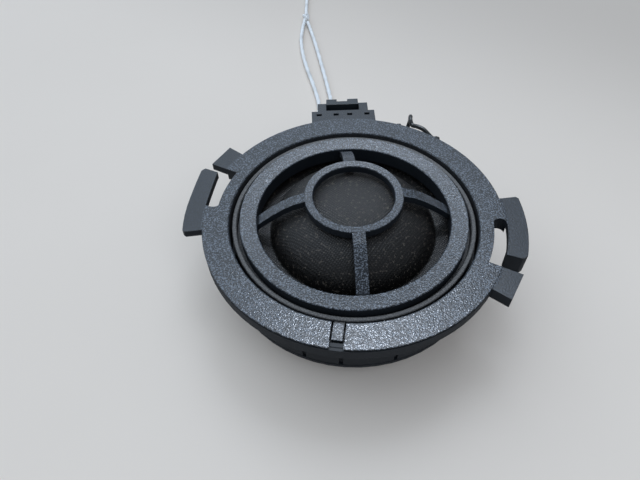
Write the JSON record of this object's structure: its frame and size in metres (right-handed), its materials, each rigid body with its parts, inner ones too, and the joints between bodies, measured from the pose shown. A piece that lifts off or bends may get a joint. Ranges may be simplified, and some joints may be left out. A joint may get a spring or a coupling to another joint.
{
  "type": "car tweeter",
  "caption": "Twist-lock car tweeter: round moulded housing with a spoked grille insert over a cloth dome, a soft-dome driver behind it and a plug socket at the rim.",
  "frame": {"origin": "centre of the flat back of the driver's steel cup, on which the tweeter stands", "axes": "+Z along the sound axis towards the listener, +Y towards the socket, -Y towards the insert's key"},
  "size_m": [0.0652, 0.1613, 0.0244],
  "materials": {
    "black_plastic": "spark-eroded satin, cool black",
    "grille_cloth": "stiffened open mesh, brown-black",
    "black_foam": "open-cell foam, dead matt",
    "coated_silk": "coated woven silk, satin",
    "coil_former": "polyimide film, amber",
    "copper_wire": "enamelled copper",
    "plated_steel": "zinc plated, satin",
    "nickel_plating": "nickel plated",
    "felt": "pressed felt",
    "chassis_plastic": "moulded, matt",
    "tinned_brass": "tinned",
    "wire_sleeve": "satin sleeve",
    "tinned_copper": "tinned copper",
    "capacitor_case": "dipped, glossy",
    "white_string": "twisted fibre, white"
  },
  "bodies": {
    "housing": {"mounting_housing": "black_plastic", "grille_insert": "black_plastic", "rear_cover": "black_plastic", "grille_cloth": "grille_cloth", "foam_gasket": "black_foam", "surround": "coated_silk", "yoke_cup": "plated_steel", "magnet": "nickel_plating", "pole_disc": "plated_steel", "damping_felt": "felt", "driver_chassis": "chassis_plastic", "chassis_screw_1": "plated_steel", "chassis_screw_2": "plated_steel", "chassis_screw_3": "plated_steel", "terminal_pin_negative": "tinned_brass", "terminal_pin_positive": "tinned_brass", "coil_lead_negative": "copper_wire", "coil_lead_positive": "copper_wire", "solder_tag_negative": "tinned_brass", "solder_tag_positive": "tinned_brass", "lead_wire_positive": "wire_sleeve", "lead_wire_negative": "wire_sleeve", "capacitor_lead": "tinned_copper", "series_capacitor": "capacitor_case", "tie_string_left": "white_string", "tie_string_right": "white_string", "tie_string_tail": "white_string", "tie_string_knot": "white_string", "tie_string_end_knot": "white_string", "tie_string_hitch": "white_string"},
    "moving_coil": {"dome_diaphragm": "coated_silk", "coil_former": "coil_former", "voice_coil": "copper_wire"}
  },
  "joints": [
    {"name": "dome_travel", "type": "slide", "parent": "housing", "child": "moving_coil", "axis": [0, 0, 1], "range_m": [-0.0004, 0.0004], "stiffness_N_per_m": 500}
  ]
}
